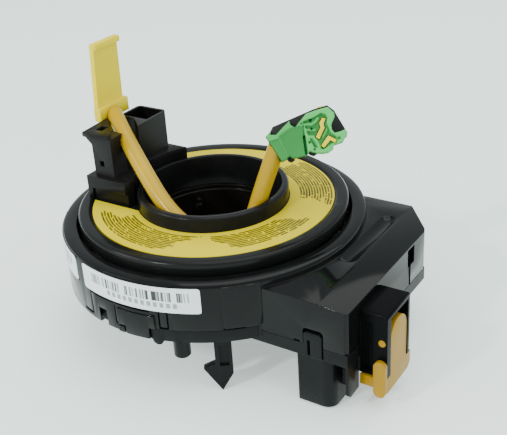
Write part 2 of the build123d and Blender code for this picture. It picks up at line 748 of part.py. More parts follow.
def lead_b_sleeve():
    end, before = Vector(*lead_b_points[-1]), Vector(*lead_b_points[-2])
    past_end = Plane(origin=end, z_dir=end - before) * Box(
        30, 30, 4 * lead_overrun, align=(Align.CENTER, Align.CENTER, Align.MIN))
    return lead(lead_b_points) - below(holder_step) - past_end


def flag_end():
    """Flag that narrows upwards, with a lip along its top, the bar the lead ends on and the shank below."""
    x0, x1 = flag_back, flag_back + flag_thickness
    top_left, top_right = flag_top_edges
    foot_left, foot_right = flag_foot_edges
    plate = Plane.YZ * make_face(Polyline(
        (foot_left, bar_bottom), (foot_right, bar_bottom), (top_right, flag_top), (top_left, flag_top),
        close=True))
    body = Pos(x0, 0, 0) * extrude(plate, flag_thickness)
    body += block(x0, x1 + flag_lip, top_left, top_right + 0.6, flag_top - flag_lip_height, flag_top)
    body = fillet(body.edges().filter_by(Axis.Y).group_by(Axis.Z)[-1], 0.5)
    body += block(x0, bar_front, foot_left, foot_right + bar_extra, bar_bottom, bar_top)
    return body + block(x0, x1, -4.0, 6.0, rim_top, bar_bottom + 0.5)


def squib_plane():
    return Plane(origin=squib_centre, x_dir=squib_long, z_dir=squib_normal)


def plate(points, low, high, grow=0.0):
    """Flat piece over an outline in the plug's own plane, grown by a margin."""
    face = make_face(Polyline(*points, close=True))
    if grow:
        face = offset(face, grow, kind=Kind.INTERSECTION)
    return Pos(0, 0, low) * extrude(face, high - low)


def squib_cover():
    """Green half: flat panel with a stepped end, and a hooked head with two slots for the yellow lock."""
    body = plate(cover_outline, -squib_cover_depth, 0)
    for bar in (long_bar, bent_bar):
        body -= plate(bar, -squib_lock_depth - 1.2, 1, grow=0.12)
    body -= plate(panel_step, -0.4, 1)
    # groove between the panel and the head
    body -= plate([(-0.3, 3.0), (0.5, 2.8), (-2.3, -5.2), (-3.0, -5.0)], -0.6, 1)
    return squib_plane() * body


def squib_insert():
    """Yellow lock inside the green half: a long bar and a bent one."""
    low, high = -squib_lock_depth - 1.1, -squib_lock_depth
    return squib_plane() * (plate(long_bar, low, high) + plate(bent_bar, low, high))


def squib_shell():
    """Black half behind the cover, with the seat that the sleeve runs into."""
    body = plate(shell_outline, -squib_cover_depth - squib_shell_depth, -squib_cover_depth)
    body = squib_plane() * body
    end, before = Vector(*lead_b_points[-1]), Vector(*lead_b_points[-2])
    seat = Cylinder(sleeve_diameter / 2 + 0.05, sleeve_socket, align=(Align.CENTER, Align.CENTER, Align.MIN))
    return body - Plane(origin=end - (end - before).normalized() * sleeve_socket, z_dir=end - before) * seat


def squib_contacts():
    mouth = -squib_cover_depth - squib_shell_depth
    return squib_plane() * Compound(children=[
        Pos(6.0, side * 1.6, mouth - 1.2) * Box(1.0, 1.0, 2.4) for side in (-1, 1)
    ])


nodes = {
    "upper_case": upper_case,
    "lower_cover": lower_cover,
    "connector_leg": connector_leg,
    "rotor_disc": rotor_disc,
    "hub_sleeve": hub_sleeve,
    "connector_tower": connector_tower,
    "tower_pins": tower_pins,
    "ring_label": ring_label,
    "barcode_label": lambda: paper_label(*barcode_azimuths, label_low, label_high),
    "side_label": lambda: paper_label(*side_label_azimuths, label_low, label_high),
    "side_connector_shell": side_connector_shell,
    "side_connector_lock": side_connector_lock,
    "side_connector_pins": side_connector_pins,
    "leg_insert": leg_insert,
    "leg_pins": leg_pins,
    "ribbon_cable": ribbon_cable,
    "ribbon_inner_holder": lambda: ribbon_holder(hub_radius, 180, inner_holder_depth),
    "ribbon_outer_holder": lambda: ribbon_holder(outer_holder_radius, 0, outer_holder_depth),
    "slip_sheet": slip_sheet,
    "lead_holder": lead_holder,
    "lead_a_sleeve": lead_a_sleeve,
    "lead_b_sleeve": lead_b_sleeve,
    "flag_end": flag_end,
    "squib_cover": squib_cover,
    "squib_insert": squib_insert,
    "squib_shell": squib_shell,
    "squib_contacts": squib_contacts,
}

os.makedirs("parts", exist_ok=True)
for name, make in nodes.items():
    export_step(make(), os.path.join("parts", name + ".step"))
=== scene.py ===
import math
import bpy
import numpy as np
from mathutils import Matrix, Vector


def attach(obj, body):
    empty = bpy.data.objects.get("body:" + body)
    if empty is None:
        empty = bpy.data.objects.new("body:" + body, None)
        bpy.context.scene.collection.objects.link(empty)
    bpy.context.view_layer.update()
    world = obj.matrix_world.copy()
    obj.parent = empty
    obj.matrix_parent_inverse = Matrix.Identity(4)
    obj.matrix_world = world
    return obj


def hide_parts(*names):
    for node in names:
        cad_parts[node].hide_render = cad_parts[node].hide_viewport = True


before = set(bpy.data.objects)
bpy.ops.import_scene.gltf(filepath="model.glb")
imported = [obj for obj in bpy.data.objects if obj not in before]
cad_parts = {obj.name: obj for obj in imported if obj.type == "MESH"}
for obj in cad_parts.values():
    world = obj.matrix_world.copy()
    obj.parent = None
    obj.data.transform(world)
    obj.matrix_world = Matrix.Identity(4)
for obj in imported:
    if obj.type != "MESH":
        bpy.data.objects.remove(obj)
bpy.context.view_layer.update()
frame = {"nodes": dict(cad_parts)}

# Clock spring for a steering wheel: camera, moulded plastics and labels, green plug half, lead sleeves,
# softened edges, floor and light.
nodes = frame["nodes"]
mm = 0.001

camera = {
    "place": (162.98, -218.57, 160.98),      # millimetres
    "right": (0.84401, 0.53322, -0.05764),
    "up": (-0.20317, 0.41734, 0.88575),
    "forward": (-0.49635, 0.73587, -0.46057),
    "lens": 63.9, "sensor": 36.0,
    "near": 0.01, "far": 20.0,               # what it sees, metres
}


def placeCamera(spec):
    data = bpy.data.cameras.new("viewCamera")
    data.lens = spec["lens"]
    data.sensor_width = spec["sensor"]
    data.clip_start = spec["near"]
    data.clip_end = spec["far"]
    viewer = bpy.data.objects.new("viewCamera", data)
    bpy.context.scene.collection.objects.link(viewer)
    turn = Matrix((spec["right"], spec["up"], [-v for v in spec["forward"]])).transposed()
    viewer.matrix_world = Matrix.Translation(Vector(spec["place"]) * mm) @ turn.to_4x4()
    bpy.context.scene.camera = viewer


placeCamera(camera)
print("camera placed")


def addObject(name, mesh):
    piece = bpy.data.objects.new(name, mesh)
    bpy.context.scene.collection.objects.link(piece)
    return piece


# Shader nodes are laid out through this short hand: every call adds one node and gives back its output.
class Finish:
    def __init__(self, name):
        self.material = bpy.data.materials.new(name)
        self.material.use_nodes = True
        self.tree = self.material.node_tree
        self.shader = self.tree.nodes["Principled BSDF"]
        self.place = self.tree.nodes.new("ShaderNodeTexCoord").outputs["Object"]
        self.soft = None

    def feed(self, target, value):
        if isinstance(value, bpy.types.NodeSocket):
            self.tree.links.new(value, target)
        elif value is not None:
            target.default_value = value

    def set(self, socket, value):
        self.feed(self.shader.inputs[socket], value)

    def math(self, kind, a, b=None, c=None):
        node = self.tree.nodes.new("ShaderNodeMath")
        node.operation = kind
        for index, value in enumerate((a, b, c)):
            self.feed(node.inputs[index], value)
        return node.outputs[0]

    def every(self, kind, *values):
        total = values[0]
        for value in values[1:]:
            total = self.math(kind, total, value)
        return total

    def gap(self, value, middle):
        return self.math("ABSOLUTE", self.math("SUBTRACT", value, middle))

    # 1 where the value lies within a half width of the middle
    def band(self, value, middle, half):
        return self.math("LESS_THAN", self.gap(value, middle), half)

    # square root of a squared plus b squared
    def reach(self, a, b):
        return self.math("SQRT", self.math("ADD", self.math("MULTIPLY", a, a), self.math("MULTIPLY", b, b)))

    def noise(self, scale, detail=2.0, rough=0.5, vector=None):
        node = self.tree.nodes.new("ShaderNodeTexNoise")
        self.tree.links.new(vector or self.place, node.inputs["Vector"])
        node.inputs["Scale"].default_value = scale
        node.inputs["Detail"].default_value = detail
        node.inputs["Roughness"].default_value = rough
        return node.outputs["Fac"]

    def stretched(self, scale):
        node = self.tree.nodes.new("ShaderNodeMapping")
        self.tree.links.new(self.place, node.inputs["Vector"])
        node.inputs["Scale"].default_value = scale
        return node.outputs[0]

    def span(self, value, low, high, out0=0.0, out1=1.0):
        node = self.tree.nodes.new("ShaderNodeMapRange")
        for index, number in enumerate((value, low, high, out0, out1)):
            self.feed(node.inputs[index], number)
        return node.outputs[0]

    def mix(self, share, a, b):
        node = self.tree.nodes.new("ShaderNodeMix")
        node.data_type = "RGBA"
        self.feed(node.inputs[0], share)
        for index, colour in ((6, a), (7, b)):
            linked = isinstance(colour, bpy.types.NodeSocket)
            self.feed(node.inputs[index], colour if linked else (*colour, 1.0))
        return node.outputs[2]

    def split(self):
        node = self.tree.nodes.new("ShaderNodeSeparateXYZ")
        self.tree.links.new(self.place, node.inputs[0])
        return node.outputs

    def white(self, a, b):
        join = self.tree.nodes.new("ShaderNodeCombineXYZ")
        self.feed(join.inputs[0], a)
        self.feed(join.inputs[1], b)
        node = self.tree.nodes.new("ShaderNodeTexWhiteNoise")
        node.noise_dimensions = "2D"
        self.tree.links.new(join.outputs[0], node.inputs["Vector"])
        return node.outputs["Value"]

    # normal of the surface as if its edges were rounded to a radius in millimetres
    def softNormal(self, radius):
        node = self.tree.nodes.new("ShaderNodeBevel")
        node.samples = 4
        node.inputs["Radius"].default_value = radius * mm
        self.soft = node.outputs["Normal"]

    # how far that normal has turned from the face's own: 0 on flats, 1 along an edge
    def edgeShare(self):
        face = self.tree.nodes.new("ShaderNodeNewGeometry")
        node = self.tree.nodes.new("ShaderNodeVectorMath")
        node.operation = "DOT_PRODUCT"
        self.tree.links.new(self.soft, node.inputs[0])
        self.tree.links.new(face.outputs["Normal"], node.inputs[1])
        return self.span(node.outputs["Value"], 0.995, 0.86)

    def relief(self, height, strength, distance=0.0002):
        node = self.tree.nodes.new("ShaderNodeBump")
        node.inputs["Strength"].default_value = strength
        node.inputs["Distance"].default_value = distance
        self.tree.links.new(height, node.inputs["Height"])
        if self.soft:
            self.tree.links.new(self.soft, node.inputs["Normal"])
        self.tree.links.new(node.outputs[0], self.shader.inputs["Normal"])


plasticDefaults = {
    "shade": 0.82, "tint": 1.14,             # darker and lighter tone, as shares of the colour
    "cloudScale": 60, "grainScale": 1600, "waveScale": 90,
    "grain": 0.25, "bump": 0.1,              # share of the grain in the height, and the relief's strength
    "edge": 0.25, "wear": 0.3,               # rounded edge's width, millimetres, and how far it is rubbed
    "dust": 0.05, "dustFrom": 0.74, "dustColour": (0.6, 0.6, 0.58),
    "sockets": {},
}


# Base colour = a slow cloud between a darker and a lighter tone; where the piece has its own relief, painted
# shade in its hollows turning to the lit ridge colour, painted light, as the relief rises; rubbed paler along
# edges, with a few dust specks.
# Roughness follows the cloud; bump = fine mould grain plus slow flow waves.
def mouldedPlastic(name, colour, own):
    spec = {**plasticDefaults, "rubbed": tuple(c * 2.0 for c in colour), **own}
    finish = Finish(name)
    cloud = finish.noise(spec["cloudScale"], 3)
    fine = finish.noise(spec["grainScale"], 2)
    darker = tuple(c * spec["shade"] for c in colour)
    lighter = tuple(min(1.0, c * spec["tint"]) for c in colour)
    base = finish.mix(finish.span(cloud, 0.35, 0.65), darker, lighter)
    # painted shade and light: the plain colour stays in the hollows as shade, the lit ridge colour is painted
    # on the ridges
    if "litRidge" in spec:
        level = finish.tree.nodes.new("ShaderNodeAttribute")
        level.attribute_name = "relief"
        dimmer = tuple(0.9 * c for c in spec["litRidge"])
        litRidge = finish.mix(finish.span(cloud, 0.35, 0.65), dimmer, spec["litRidge"])
        base = finish.mix(finish.span(level.outputs["Fac"], 0.0, 1.0), base, litRidge)
    if spec["edge"]:
        finish.softNormal(spec["edge"])
        patchy = finish.span(finish.noise(300, 2), 0.3, 0.7, 0.4, 1.0)
        worn = finish.math("MULTIPLY", finish.edgeShare(), patchy)
        base = finish.mix(finish.math("MULTIPLY", worn, spec["wear"]), base, spec["rubbed"])
    dustSpot = finish.span(finish.noise(2400, 1), spec["dustFrom"], 0.8)
    base = finish.mix(finish.math("MULTIPLY", dustSpot, spec["dust"]), base, spec["dustColour"])
    finish.set("Base Color", base)
    finish.set("Roughness", finish.span(cloud, 0.3, 0.7, spec["rough"] * 0.8, spec["rough"] * 1.25))
    height = finish.math("MULTIPLY_ADD", fine, spec["grain"], finish.noise(spec["waveScale"], 1))
    finish.relief(height, spec["bump"])
    for socket, value in spec["sockets"].items():
        finish.set(socket, value)
    return finish.material


gloss = "Specular IOR Level"
plastics = {
    "caseBlack": ((0.005, 0.0054, 0.0056), {
        "rough": 0.1, "sockets": {gloss: 0.17}, "bump": 0.05, "edge": 0.3}),
    "coverBlack": ((0.0075, 0.008, 0.0085), {
        "rough": 0.27, "sockets": {gloss: 0.11}, "bump": 0.16, "edge": 0.3}),
    "rotorBlack": ((0.0075, 0.008, 0.0078), {"rough": 0.2, "sockets": {gloss: 0.15}, "edge": 0.3}),
    "hubBlack": ((0.006, 0.0055, 0.004), {
        "rough": 0.2, "sockets": {gloss: 0.2}, "edge": 0.3, "waveScale": 40}),
    "towerBlack": ((0.0075, 0.0075, 0.007), {
        "rough": 0.3, "sockets": {gloss: 0.14}, "bump": 0.14, "edge": 0.25}),
    "shellBlack": ((0.018, 0.018, 0.018), {"rough": 0.35, "sockets": {gloss: 0.2}, "edge": 0.25}),
    "flagCream": ((0.86, 0.68, 0.0), {
        "rough": 0.45, "shade": 0.96, "tint": 1.03, "dust": 0.0, "edge": 0.35,
        "rubbed": (1.0, 0.9, 0.3), "wear": 0.6, "sockets": {gloss: 0.2}}),
    # the plug's own green is painted shade in its hollows, its ridge colour painted light on ridges and head
    "plugGreen": ((0.008, 0.105, 0.017), {
        "rough": 0.36, "shade": 0.9, "tint": 1.1, "dust": 0.0, "edge": 0.2, "litRidge": (0.09, 0.56, 0.13),
        "rubbed": (0.25, 0.8, 0.3), "wear": 0.5, "sockets": {gloss: 0.25}}),
    "connectorBlack": ((0.004, 0.0042, 0.0045), {"rough": 0.26, "sockets": {gloss: 0.03}, "edge": 0.3}),
    "insertYellow": ((0.85, 0.66, 0.03), {
        "rough": 0.4, "dust": 0.0, "edge": 0.1, "rubbed": (0.95, 0.9, 0.3), "sockets": {gloss: 0.25}}),
    "lockOrange": ((0.37, 0.2, 0.0), {
        "rough": 0.36, "shade": 0.94, "tint": 1.05, "dust": 0.0, "edge": 0.3,
        "rubbed": (0.7, 0.45, 0.02), "wear": 0.4, "sockets": {gloss: 0.25}}),
    "slipFilm": ((0.5, 0.42, 0.25), {"rough": 0.3, "edge": 0.0}),
}
finishes = {name: mouldedPlastic(name, *spec) for name, spec in plastics.items()}


# Terminal metal: tin with faint drawn lines along Z in its roughness.
def tinned(name):
    finish = Finish(name)
    finish.set("Base Color", finish.mix(finish.noise(500), (0.6, 0.58, 0.54), (0.74, 0.72, 0.68)))
    finish.set("Metallic", 1.0)
    lines = finish.noise(1.0, 2, 0.5, finish.stretched((3000, 3000, 150)))
    finish.set("Roughness", finish.span(lines, 0.3, 0.7, 0.2, 0.4))
    return finish.material


finishes["tinned"] = tinned("tinned")

ringPrint = {
    # printed blocks: first and last azimuth, inner and outer radius, rows, lean of the ends in degrees
    "blocks": (
        (-134.0, -71.0, 27.6, 38.0, 11, -9.0),
        (-54.0, -2.0, 27.7, 37.0, 9, 7.0),
        (20.0, 75.0, 29.0, 40.0, 12, -4.0),
    ),
    "dash": 0.7,             # length of one dash cell along its row, millimetres
    "blank": 0.06,           # share of the cells left bare
    "rowHalf": 0.34,         # half height of the ink, as a share of a row
    "dashHalf": 0.35,        # half length of the shortest dash, as a share of its cell
    "dashSpread": 0.17,      # how much more the longest has
    "ragged": 0.13,          # how far a row's end may fall short, radians
    "ink": (0.022, 0.02, 0.007),
    "paint": (0.72, 0.59, 0.0),
}


# Polar print, worked out for each block: row = whole part of (r - inner) / pitch, cell = whole part of
# azimuth * r / dash. A cell is inked where its random number passes a limit, the point lies inside the
# row's band, and its azimuth is inside the block, whose ends lean with the radius and are ragged by row.
def ringLabelFinish(spec):
    finish = Finish("ringLabelYellow")
    x, y, _ = finish.split()
    radius = finish.reach(x, y)
    azimuth = finish.math("ARCTAN2", y, x)
    cellPlace = finish.math("DIVIDE", finish.math("MULTIPLY", azimuth, radius), spec["dash"] * mm)
    inCell = finish.math("FRACT", cellPlace)
    blocks = []
    for start, end, inner, outer, rows, lean in spec["blocks"]:
        rowPlace = finish.span(radius, inner * mm, outer * mm, 0.0, float(rows))
        rowPlace.node.clamp = False
        row = finish.math("FLOOR", rowPlace)
        chance = finish.white(finish.math("FLOOR", cellPlace), finish.math("ADD", row, start))
        middle, half = math.radians((start + end) / 2), math.radians((end - start) / 2)
        leaning = finish.span(radius, inner * mm, outer * mm, -math.radians(lean), math.radians(lean))
        endPlace = finish.math("MULTIPLY_ADD", finish.white(row, middle), -spec["ragged"], half)
        dashHalf = finish.math("MULTIPLY_ADD", chance, spec["dashSpread"], spec["dashHalf"])
        blocks.append(finish.every(
            "MULTIPLY",
            finish.math("GREATER_THAN", chance, spec["blank"]),
            finish.band(finish.math("FRACT", rowPlace), 0.5, spec["rowHalf"]),
            finish.band(inCell, 0.5, dashHalf),
            finish.band(rowPlace, rows / 2, rows / 2),
            finish.band(finish.math("SUBTRACT", azimuth, leaning), middle, endPlace),
        ))
    inked = finish.every("MAXIMUM", *blocks)
    cloud = finish.noise(70, 3)
    paint = finish.mix(finish.span(cloud, 0.3, 0.7), tuple(0.94 * c for c in spec["paint"]), spec["paint"])
    finish.set("Base Color", finish.mix(finish.math("MULTIPLY", inked, 0.96), paint, spec["ink"]))
    finish.set("Roughness", finish.span(cloud, 0.3, 0.7, 0.3, 0.4))
    finish.set(gloss, 0.15)
    finish.relief(finish.noise(220, 2), 0.08)
    return finish.material


barPrint = {
    "low": 19.3, "high": 22.5,       # heights of the bars, millimetres
    "tickLow": 17.1, "tickHigh": 18.7,
    "bar": 0.36, "group": 9,         # one bar's cell round the drum, and the cells that vary together
    "blank": 0.44, "grey": 0.8,      # a bar's number below which it is bare, and below which it is grey
    "tick": 2.1, "tickHalf": 0.3,
    "tickShift": 1.5, "tickInset": 4.5,
    "radius": 51.25,
    "paper": (0.86, 0.9, 0.92),
    "pale": (0.3, 0.32, 0.33),
    "ink": (0.02, 0.021, 0.024),
    "corner": 0.9,
    "limits": (15.5, 24.0),          # the paper's lower and upper edge
}


# Upright bars on white paper over a row of plain ticks. Arc place = azimuth * radius; a bar is bare, grey or
# black by its random number. The black wall shows outside the paper's rounded corners, where the distance
# past the corner's centre, along the arc and in height together, is over the corner's radius.
def barLabelFinish(name, paperSpan, printSpan, spec):
    finish = Finish(name)
    x, y, z = finish.split()
    arc = finish.math("MULTIPLY", finish.math("ARCTAN2", y, x), spec["radius"] * mm)
    chance = finish.white(finish.math("FLOOR", finish.math("DIVIDE", arc, spec["bar"] * mm)), 3.0)
    groupPlace = finish.math("DIVIDE", arc, spec["group"] * spec["bar"] * mm)
    group = finish.white(finish.math("FLOOR", groupPlace), 8.0)
    bars = finish.math("GREATER_THAN", chance, spec["blank"])
    weight = finish.math("MULTIPLY", chance, finish.span(group, 0.0, 1.0, 0.8, 1.15))
    black = finish.math("GREATER_THAN", weight, spec["grey"])
    middle, half = (spec["low"] + spec["high"]) / 2, (spec["high"] - spec["low"]) / 2
    upright = finish.band(z, middle * mm, half * mm)
    tickMiddle, tickHeight = (spec["tickLow"] + spec["tickHigh"]) / 2, spec["tickHigh"] - spec["tickLow"]
    inTick = finish.math("FRACT", finish.math("DIVIDE", arc, spec["tick"] * mm))
    ticks = finish.math("MULTIPLY", finish.band(inTick, 0.5, spec["tickHalf"]),
                        finish.band(z, tickMiddle * mm, tickHeight / 2 * mm))
    first, last = (math.radians(edge) * spec["radius"] * mm for edge in printSpan)
    reach = finish.band(arc, (first + last) / 2, (last - first) / 2)
    tickReach = finish.band(arc, (first + last) / 2 + spec["tickShift"] * mm,
                            (last - first) / 2 - spec["tickInset"] * mm)
    ticks = finish.math("MULTIPLY", ticks, tickReach)
    inked = finish.math("MULTIPLY", finish.math("MULTIPLY", bars, upright), reach)
    paper = finish.mix(finish.noise(300, 2), tuple(0.96 * c for c in spec["paper"]), spec["paper"])
    bar = finish.mix(black, spec["pale"], spec["ink"])
    printed = finish.mix(ticks, finish.mix(inked, paper, bar), spec["pale"])
    left, right = (math.radians(edge) * spec["radius"] * mm for edge in paperSpan)
    low, high = (edge * mm for edge in spec["limits"])
    corner = spec["corner"] * mm
    across = finish.math("SUBTRACT", finish.gap(arc, (left + right) / 2), (right - left) / 2 - corner)
    along = finish.math("SUBTRACT", finish.gap(z, (low + high) / 2), (high - low) / 2 - corner)
    out = finish.reach(finish.math("MAXIMUM", across, 0.0), finish.math("MAXIMUM", along, 0.0))
    beyond = finish.math("GREATER_THAN", out, corner)
    finish.set("Base Color", finish.mix(beyond, printed, plastics["caseBlack"][0]))
    finish.set("Roughness", finish.span(finish.noise(120), 0.3, 0.7, 0.36, 0.46))
    finish.relief(finish.noise(900, 2), 0.08)
    return finish.material


finishes["ringLabel"] = ringLabelFinish(ringPrint)
finishes["barLabel"] = barLabelFinish("barLabelWhite", (-109.0, -60.5), (-103.4, -64.3), barPrint)
finishes["sideLabel"] = barLabelFinish("sideLabelWhite", (-152.0, -114.0), (-148.0, -118.5), barPrint)


# Soft sleeve: amber with slow streaks and a few pale specks, under a thin glossy skin.
def sleeveFinish(spec):
    finish = Finish("sleeveAmber")
    cloud = finish.noise(45, 3)
    specks = finish.noise(700, 2)
    base = finish.mix(finish.span(cloud, 0.3, 0.7), spec["deep"], spec["pale"])
    finish.set("Base Color", finish.mix(finish.span(specks, 0.62, 0.8, 0.0, 0.25), base, spec["rub"]))
    finish.set("Roughness", finish.span(cloud, 0.3, 0.7, 0.2, 0.3))
    finish.set(gloss, 0.3)
    finish.relief(finish.noise(260, 2), 0.12)
    return finish.material


sleeveTones = {"deep": (0.44, 0.27, 0.0), "pale": (0.52, 0.33, 0.0), "rub": (0.8, 0.56, 0.02)}
finishes["sleeve"] = sleeveFinish(sleeveTones)
print("finishes made", len(finishes))

# Green half of the squib plug, in its own plane: u along it, v across it, height off the plane. Millimetres.
plugFace = {
    "centre": (34.6, 4.0, 55.6), "along": (0.708, 0.650, 0.275), "normal": (0.496, -0.736, 0.461),
    "cell": 0.14, "top": 0.0, "depth": 3.0, "edge": 0.45, "finish": "plugGreen", "slot": "plug_green",
    "outline": [
        (-12.1, 4.0), (-9.9, 5.0), (-10.5, 4.0), (-8.9, 3.3), (-6.5, 4.5), (-3.5, 5.8), (-3.6, 4.4),
        (-2.6, 3.3), (-0.6, 4.5), (2.1, 5.9), (5.4, 5.8), (9.0, 5.4), (10.2, 3.1), (9.9, 1.8), (8.0, -0.2),
        (7.7, -1.6), (8.1, -2.8), (9.6, -3.0), (11.5, -3.0), (11.7, -4.5), (9.3, -6.5), (6.4, -6.3),
        (5.8, -7.4), (4.2, -7.8), (2.6, -7.5), (0.5, -6.5), (-1.1, -5.2), (-2.4, -6.2), (-6.7, -5.5),
        (-7.5, -4.4), (-8.6, -5.0), (-10.2, -5.2),
    ],
    # regions sunk below the plane: outline, depth, width of their sloping side
    "sunk": [
        ([(-12.6, 2.2), (-8.6, 1.9), (-7.7, -3.9), (-7.5, -6), (-11, -6)], 0.55, 0.25),
        ([(-8.3, 2.4), (-6.0, 3.1), (-3.9, 3.5), (-1.6, 3.3), (-0.2, 2.6), (-2.2, -6.6), (-7.9, -6.6)],
         0.6, 0.9),
        ([(0.3, 4.0), (4.0, 4.0), (6.4, 4.4), (7.6, 3.5), (7.7, 2.2), (6.9, 0.9), (7.0, -2.4), (8.3, -4.2),
          (6.4, -5.6), (3.0, -6.3), (0.6, -4.6), (0.2, -1.0)], 0.95, 0.35),
    ],
    # grooves and ridges: points, half width, height
    "strips": [
        ([(0.1, 3.2), (-1.0, -0.5)], 0.32, -0.55),
        ([(-1.0, -0.5), (-2.3, -5.6)], 0.5, -1.3),
        ([(0.6, 2.9), (2.4, 2.2), (3.9, 2.6), (4.9, 3.3)], 0.6, 0.8),
        ([(0.2, 1.3), (2.7, 0.2)], 0.55, 0.8),
        ([(0.0, -0.9), (1.4, -1.6), (1.9, -3.3), (2.1, -5.2)], 0.8, 0.9),
        ([(4.4, -2.6), (6.3, -1.0)], 0.45, 0.5),
        ([(5.0, -6.2), (7.9, -5.9)], 0.5, 0.35),
    ],
    # holes: centre, radius, depth
    "holes": [((2.6, 3.6), 0.4, 0.9), ((2.0, 0.9), 0.42, 0.9), ((-0.1, -2.7), 0.45, 0.9),
              ((0.5, -5.3), 0.4, 0.8), ((8.8, -4.8), 0.5, 0.7), ((-0.4, 3.6), 0.3, 0.6)],
    # pockets of the two yellow bars, a little wider than the bars
    "pockets": [
        [(6.2, 3.0), (7.1, 2.3), (5.9, 1.0), (5.8, -0.2), (3.0, -2.9), (2.2, -1.9), (4.7, 0.4), (4.8, 1.7)],
        [(5.9, -2.8), (8.0, -5.0), (7.2, -5.8), (6.0, -4.4), (3.4, -5.9), (2.8, -4.9)],
    ],
    "pocketDepth": 1.75,
    # across this line the panel is painted in shade and the head painted lighter, through the relief
    # attribute
    # line between the panel and the head: a point's u and v, its slant, and the width that it fades over
    "headLine": (0.1, 3.2, 0.326, 0.8),
    # the painted shade in the hollows is darkest at this depth
    "paintedShadeDepth": 1.1,                      # depth at which the finish takes its darkest tone
}
# Black snap feet in the notches below the green half, and the yellow tab behind the black one.
plugPlates = {
    "plugSnapLeft": {"finish": "shellBlack", "slot": "rotor_black", "top": -3.0, "depth": 2.6, "edge": 0.4,
                     "outline": [(-8.4, -4.2), (-6.3, -4.2), (-6.1, -6.0), (-7.4, -6.3), (-8.1, -5.6)]},
    "plugSnapRight": {"finish": "shellBlack", "slot": "rotor_black", "top": -3.0, "depth": 2.6, "edge": 0.4,
                      "outline": [(-1.9, -4.6), (0.8, -4.6), (1.2, -6.7), (-0.2, -7.0), (-1.1, -6.2)]},
    "plugTab": {"finish": "insertYellow", "slot": "insert_yellow", "top": -8.6, "depth": 1.0, "edge": 0.2,
                "outline": [(5.0, 5.4), (5.2, 6.8), (7.4, 7.3), (9.2, 6.8), (9.9, 5.7), (9.0, 5.0)]},
}


sharpAngle = math.radians(50)                # a new piece's edges over this stay sharp


# Signed distance to a closed outline, positive inside: the nearest distance to its sides, with the sign from
# the number of sides that a ray to the right crosses.
def insideDistance(u, v, outline):
    start = np.array(outline, float)
    end = np.roll(start, -1, axis=0)
    crossings = np.zeros(u.shape, bool)
    nearest = np.full(u.shape, 1e9)
    for (au, av), (bu, bv) in zip(start, end):
        du, dv = bu - au, bv - av
        share = np.clip(((u - au) * du + (v - av) * dv) / (du * du + dv * dv), 0.0, 1.0)
        nearest = np.minimum(nearest, np.hypot(u - au - share * du, v - av - share * dv))
        if dv:
            crossings ^= ((av > v) != (bv > v)) & (u < du * (v - av) / dv + au)
    return np.where(crossings, nearest, -nearest)


# Distance to a line through the points: the nearest distance to any of its sides.
def stripDistance(u, v, points):
    nearest = np.full(u.shape, 1e9)
    for (au, av), (bu, bv) in zip(points, points[1:]):
        du, dv = bu - au, bv - av
        share = np.clip(((u - au) * du + (v - av) * dv) / (du * du + dv * dv), 0.0, 1.0)
        nearest = np.minimum(nearest, np.hypot(u - au - share * du, v - av - share * dv))
    return nearest


# Eased step from 0 to 1: three t squared less two t cubed, with t held between 0 and 1.
def smooth(t):
    t = np.clip(t, 0.0, 1.0)
    return t * t * (3 - 2 * t)


# Height of a plate over (u, v): flat, less each sunk region, plus ridges shaped as a smooth bump across, less
# round holes and pockets, and rounded to a quarter circle along the outline.
def plateHeight(u, v, edge, spec):
    height = np.zeros(u.shape)
    for outline, depth, side in spec.get("sunk", ()):
        height = np.minimum(height, -depth * smooth(insideDistance(u, v, outline) / side + 0.5))
    for points, half, rise in spec.get("strips", ()):
        height += rise * smooth(1.0 - stripDistance(u, v, points) / half * 0.8)
    for (cu, cv), radius, depth in spec.get("holes", ()):
        height -= depth * smooth(1.4 - np.hypot(u - cu, v - cv) / radius)
    for outline in spec.get("pockets", ()):
        sunk = smooth((insideDistance(u, v, outline) + 0.22) / 0.15)
        height = height * (1 - sunk) - spec["pocketDepth"] * sunk
    roll = spec["edge"]
    near = np.clip(roll - edge, 0.0, roll)
    return np.minimum(height, 0.0) - (roll - np.sqrt(roll ** 2 - near ** 2))


